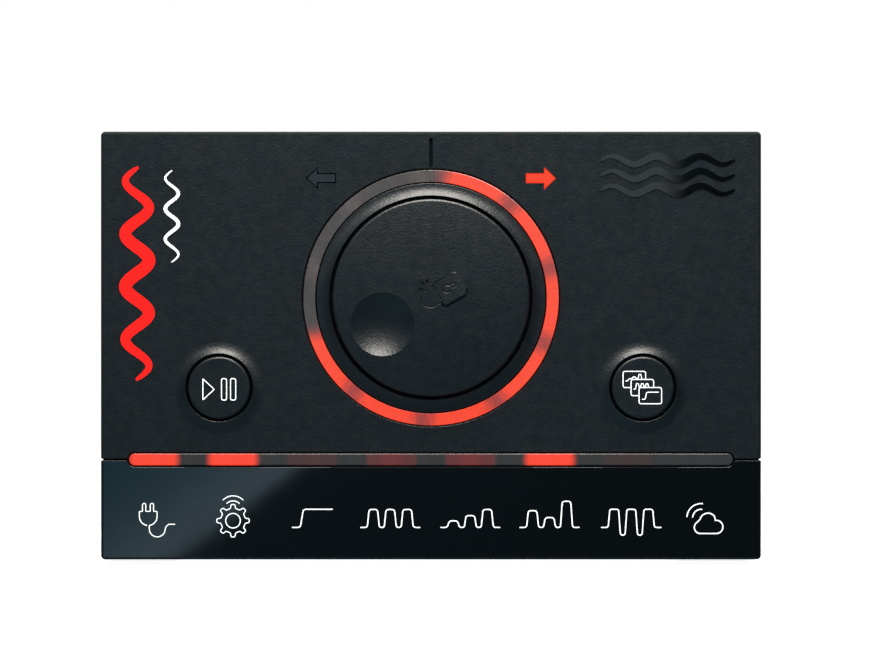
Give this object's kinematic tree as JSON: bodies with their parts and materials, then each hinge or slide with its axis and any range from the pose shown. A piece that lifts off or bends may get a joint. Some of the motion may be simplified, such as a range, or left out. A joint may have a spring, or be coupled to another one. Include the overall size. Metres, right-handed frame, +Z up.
{
  "type": "wave pump controller",
  "caption": "Wall-hung box with a turning push dial, a ring and bar of lights and push keys, which sets the flow of an aquarium wave-maker pump.",
  "frame": {"origin": "on the wall plane at the centre of the bracket's four screws, directly behind the dial's axis", "axes": "+X to the right of someone facing the dial, +Y from the face towards the wall, +Z up"},
  "size_m": [0.12, 0.034, 0.0778],
  "materials": {
    "cover_plastic": "moulded plastic with a fine leather grain, satin",
    "strip_plastic": "piano-black gloss",
    "rear_plastic": "fine spark-eroded texture, matte",
    "bracket_plastic": "fine spark-eroded texture, matte",
    "knob_plastic": "soft-touch with a leather grain",
    "button_plastic": "soft-touch with a fine grain",
    "light_guide": "smoked diffusing acrylic",
    "baffle_plastic": "matte black",
    "seal_rubber": "matte",
    "label_film": "blank satin silver film",
    "circuit_board": "green solder mask, satin",
    "chip_epoxy": "matte black epoxy",
    "led_package": "white package with a clear window",
    "switch_plastic": "matte black",
    "connector_plastic": "semi-gloss black",
    "insert_plastic": "matte dark grey",
    "steel": "zinc-plated",
    "contact_metal": "gold-plated",
    "nickel": "nickel-plated",
    "aluminium_can": "satin",
    "ferrite": "matte",
    "lead_insulation": "PVC insulation, satin",
    "white_ink": "printed",
    "red_ink": "printed",
    "gloss_relief": "gloss black relief"
  },
  "bodies": {
    "bracket": {"wall_bracket": "bracket_plastic"},
    "case": {"rear_case": "rear_plastic", "rating_label": "label_film", "case_seal": "seal_rubber", "case_screws": "steel", "front_cover": "cover_plastic", "icon_panel": "strip_plastic", "dial_bezel": "cover_plastic", "encoder_body": "nickel", "encoder_legs": "nickel", "play_switch": "switch_plastic", "program_switch": "switch_plastic", "light_ring": "light_guide", "ring_baffle": "baffle_plastic", "ring_leds": "led_package", "light_bar": "light_guide", "bar_baffle": "baffle_plastic", "bar_leds": "led_package", "reverse_arrow_lens": "light_guide", "forward_arrow_lens": "light_guide", "arrow_baffles": "baffle_plastic", "arrow_leds": "led_package", "main_board": "circuit_board", "board_screws": "steel", "radio_module": "nickel", "control_chips": "chip_epoxy", "link_socket": "switch_plastic", "link_header": "switch_plastic", "link_pins": "contact_metal", "driver_board": "circuit_board", "driver_screws": "steel", "capacitors": "aluminium_can", "inductor": "ferrite", "power_transistors": "chip_epoxy", "power_lead_plug": "insert_plastic", "pump_lead_plug": "insert_plastic", "power_leads": "lead_insulation", "pump_leads": "lead_insulation", "power_inlet": "connector_plastic", "power_inlet_pin": "nickel", "power_inlet_nut": "nickel", "power_inlet_tabs": "nickel", "pump_socket": "connector_plastic", "pump_socket_insert": "insert_plastic", "pump_contacts": "contact_metal", "pump_socket_nut": "nickel"},
    "dial_plunger": {"encoder_plunger": "switch_plastic"},
    "dial": {"dial_knob": "knob_plastic", "encoder_shaft": "steel"},
    "play_key": {"play_button": "button_plastic", "play_switch_plunger": "insert_plastic"},
    "program_key": {"program_button": "button_plastic", "program_switch_plunger": "insert_plastic"}
  },
  "joints": [
    {"name": "lift_off", "type": "slide", "parent": "bracket", "child": "case", "axis": [0, 0, 1], "range_m": [0, 0.052]},
    {"name": "dial_press", "type": "slide", "parent": "case", "child": "dial_plunger", "axis": [0, 1, 0], "range_m": [0, 0.0008], "stiffness_N_per_m": 2500, "springref_m": -0.0006},
    {"name": "dial_turn", "type": "hinge", "parent": "dial_plunger", "child": "dial", "pos_m": [0, -0.0335, 0], "axis": [0, 1, 0], "continuous": true},
    {"name": "play_press", "type": "slide", "parent": "case", "child": "play_key", "axis": [0, 1, 0], "range_m": [0, 0.0007], "stiffness_N_per_m": 800, "springref_m": -0.0003},
    {"name": "program_press", "type": "slide", "parent": "case", "child": "program_key", "axis": [0, 1, 0], "range_m": [0, 0.0007], "stiffness_N_per_m": 800, "springref_m": -0.0003}
  ]
}
